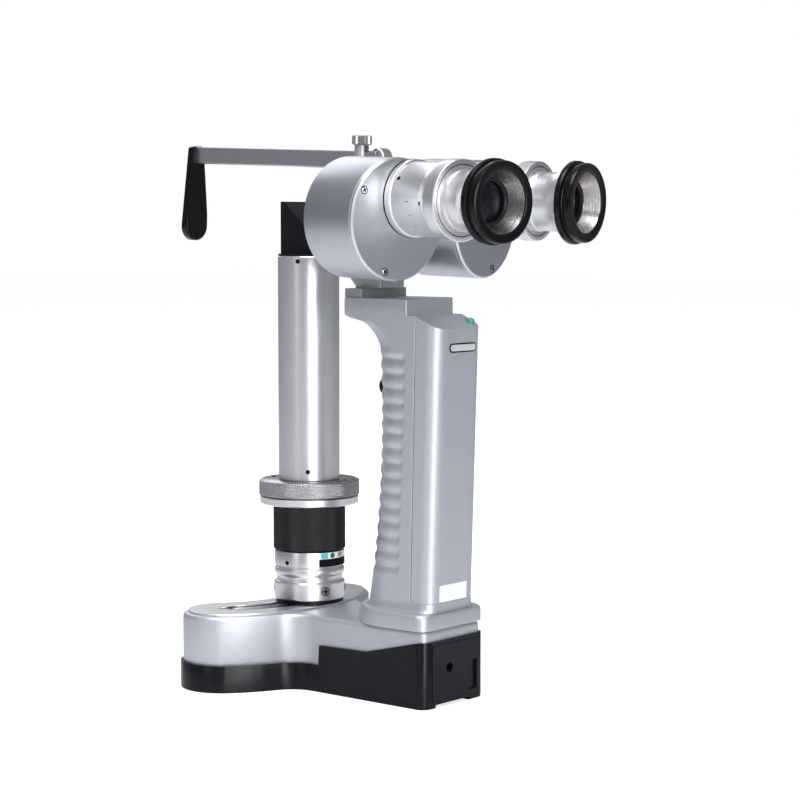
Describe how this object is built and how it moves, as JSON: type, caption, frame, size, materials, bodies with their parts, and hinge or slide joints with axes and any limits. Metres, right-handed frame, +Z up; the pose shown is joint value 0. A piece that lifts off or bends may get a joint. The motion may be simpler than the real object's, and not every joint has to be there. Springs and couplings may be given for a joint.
{
  "type": "slit lamp",
  "caption": "Hand-held slit lamp: binocular microscope on a pistol grip, with a swinging slit-light column on a curved base and a forehead rest.",
  "frame": {"origin": "centre of the foot's patch under the handle, on the resting plane", "axes": "+Z up, +Y from the observer towards the patient, +X to the observer's right"},
  "size_m": [0.1184, 0.2224, 0.2614],
  "materials": {
    "casting": "fine metallic silver paint",
    "plate_silver": "satin",
    "black_plastic": "fine texture",
    "steel_screw": "polished",
    "satin_aluminium": "satin turned",
    "knurled_aluminium": "knurled",
    "black_anodised": "anodised black",
    "black_knurl": "anodised black, knurled",
    "tube_silver": "fine metallic silver paint",
    "dark_grey": "satin paint",
    "glass": "clear",
    "filter_glass": "coloured",
    "mirror": "front silvered",
    "green_lamp": "translucent green",
    "led_white": "clear dome",
    "battery_wrap": "shrink wrap",
    "circuit_green": "solder mask",
    "black_rubber": "soft",
    "blade_steel": "blackened",
    "knob_grey": "knurled",
    "plate_white": "brushed foil"
  },
  "bodies": {
    "base": {"base_casting": "casting", "track_plate": "plate_silver", "track_screws": "steel_screw", "bottom_cover": "black_plastic", "cover_screws": "steel_screw", "rear_cap": "black_plastic", "charging_jack": "black_plastic", "handle_grip": "casting", "battery_cover": "casting", "indicator_lamp": "green_lamp", "name_plate": "plate_white", "battery_cell": "battery_wrap", "circuit_board": "circuit_green", "handle_screws": "steel_screw", "mount_plate": "dark_grey", "head_bridge": "dark_grey", "objective_barrels": "black_anodised", "objective_lenses": "glass", "bar_bracket": "dark_grey"},
    "arm": {"arm_post": "steel_screw", "arm_nut": "steel_screw", "arm_base": "satin_aluminium", "arm_base_screws": "steel_screw", "lamp_core": "black_anodised", "index_ring": "satin_aluminium", "lamp_socket": "plate_silver", "lamp": "led_white", "condenser_lens": "glass", "slit_housing": "satin_aluminium", "lamp_tube": "tube_silver", "projection_lens": "glass", "mirror_box": "black_anodised", "mirror": "mirror"},
    "filter_ring": {"filter_sleeve": "black_knurl"},
    "filter_turret": {"filter_wheel": "black_anodised", "filter_glasses": "filter_glass"},
    "slit_control": {"slit_ring": "knurled_aluminium"},
    "left_blade": {"slit_blade_left": "blade_steel"},
    "right_blade": {"slit_blade_right": "blade_steel"},
    "forehead_rest": {"forehead_bar": "plate_silver", "forehead_pad": "black_rubber"},
    "bar_clamp": {"thumb_screw": "knob_grey"},
    "side_lock": {"lock_knob": "knob_grey"},
    "button": {"power_button": "black_rubber"},
    "left_drum": {"left_drum_shell": "satin_aluminium", "left_drum_cover": "satin_aluminium", "left_prism": "glass", "left_eyepiece_tube": "satin_aluminium"},
    "left_focus": {"left_dioptre_ring": "satin_aluminium"},
    "left_eyepiece": {"left_eyepiece_barrel": "satin_aluminium", "left_eyecup": "black_rubber", "left_eye_lens": "glass"},
    "right_drum": {"right_drum_shell": "satin_aluminium", "right_drum_cover": "satin_aluminium", "right_prism": "glass", "right_eyepiece_tube": "satin_aluminium"},
    "right_focus": {"right_dioptre_ring": "satin_aluminium"},
    "right_eyepiece": {"right_eyepiece_barrel": "satin_aluminium", "right_eyecup": "black_rubber", "right_eye_lens": "glass"}
  },
  "joints": [
    {"name": "arm_swing", "type": "hinge", "parent": "base", "child": "arm", "pos_m": [0, 0.131, 0.037], "axis": [0, 0, 1], "range_deg": [-40.5, 27.2]},
    {"name": "filter_turn", "type": "hinge", "parent": "arm", "child": "filter_ring", "pos_m": [0.00669, 0.07359, 0.073], "axis": [0, 0, 1], "range_deg": [0, 176]},
    {"name": "turret_turn", "type": "hinge", "parent": "arm", "child": "filter_turret", "pos_m": [0.01216, 0.07423, 0.0729], "axis": [0, 0, 1], "range_deg": [0, 270]},
    {"name": "slit_turn", "type": "hinge", "parent": "arm", "child": "slit_control", "pos_m": [0.00669, 0.07359, 0.092], "axis": [0, 0, 1], "range_deg": [0, 270]},
    {"name": "left_blade_slide", "type": "slide", "parent": "arm", "child": "left_blade", "axis": [-0.9933, -0.1158, 0], "range_m": [0, 0.0031]},
    {"name": "right_blade_slide", "type": "slide", "parent": "arm", "child": "right_blade", "axis": [0.9933, 0.1158, 0], "range_m": [0, 0.0031]},
    {"name": "left_drum_turn", "type": "hinge", "parent": "base", "child": "left_drum", "pos_m": [-0.02997, 0.00076, 0.22273], "axis": [-0.1271, -0.9912, -0.0369], "range_deg": [-20, 20]},
    {"name": "left_focus_turn", "type": "hinge", "parent": "left_drum", "child": "left_focus", "pos_m": [-0.02755, -0.04524, 0.23052], "axis": [-0.1271, -0.9912, -0.0369], "range_deg": [-151.5, 151.5]},
    {"name": "left_eyepiece_slide", "type": "slide", "parent": "left_drum", "child": "left_eyepiece", "axis": [-0.1271, -0.9912, -0.0369], "range_m": [-0.00248, 0.00248]},
    {"name": "right_drum_turn", "type": "hinge", "parent": "base", "child": "right_drum", "pos_m": [0.02997, 0.00076, 0.22273], "axis": [0.1271, -0.9912, -0.0369], "range_deg": [-20, 20]},
    {"name": "right_focus_turn", "type": "hinge", "parent": "right_drum", "child": "right_focus", "pos_m": [0.02755, -0.04524, 0.23052], "axis": [0.1271, -0.9912, -0.0369], "range_deg": [-151.5, 151.5]},
    {"name": "right_eyepiece_slide", "type": "slide", "parent": "right_drum", "child": "right_eyepiece", "axis": [0.1271, -0.9912, -0.0369], "range_m": [-0.00248, 0.00248]},
    {"name": "bar_slide", "type": "slide", "parent": "base", "child": "forehead_rest", "axis": [0, 0.9993, 0.0372], "range_m": [-0.04, 0.004]},
    {"name": "bar_clamp_turn", "type": "hinge", "parent": "base", "child": "bar_clamp", "pos_m": [0, 0.03368, 0.25837], "axis": [0, -0.0372, 0.9993], "range_deg": [0, 300]},
    {"name": "side_lock_turn", "type": "hinge", "parent": "base", "child": "side_lock", "pos_m": [0.008, 0.02895, 0.25099], "axis": [1, 0, 0], "range_deg": [0, 270]},
    {"name": "button_press", "type": "slide", "parent": "base", "child": "button", "axis": [0, -1, 0], "range_m": [0, 0.0012], "stiffness_N_per_m": 400}
  ],
  "couplings": [
    {"joint": "turret_turn", "follows": "filter_turn", "ratio": 1.53},
    {"joint": "left_blade_slide", "follows": "slit_turn", "m_per_rad": 0.00064},
    {"joint": "right_blade_slide", "follows": "slit_turn", "m_per_rad": 0.00064},
    {"joint": "left_focus_turn", "follows": "left_eyepiece_slide", "rad_per_m": 1052.6},
    {"joint": "right_focus_turn", "follows": "right_eyepiece_slide", "rad_per_m": 1052.6},
    {"joint": "right_drum_turn", "follows": "left_drum_turn", "ratio": -1}
  ]
}
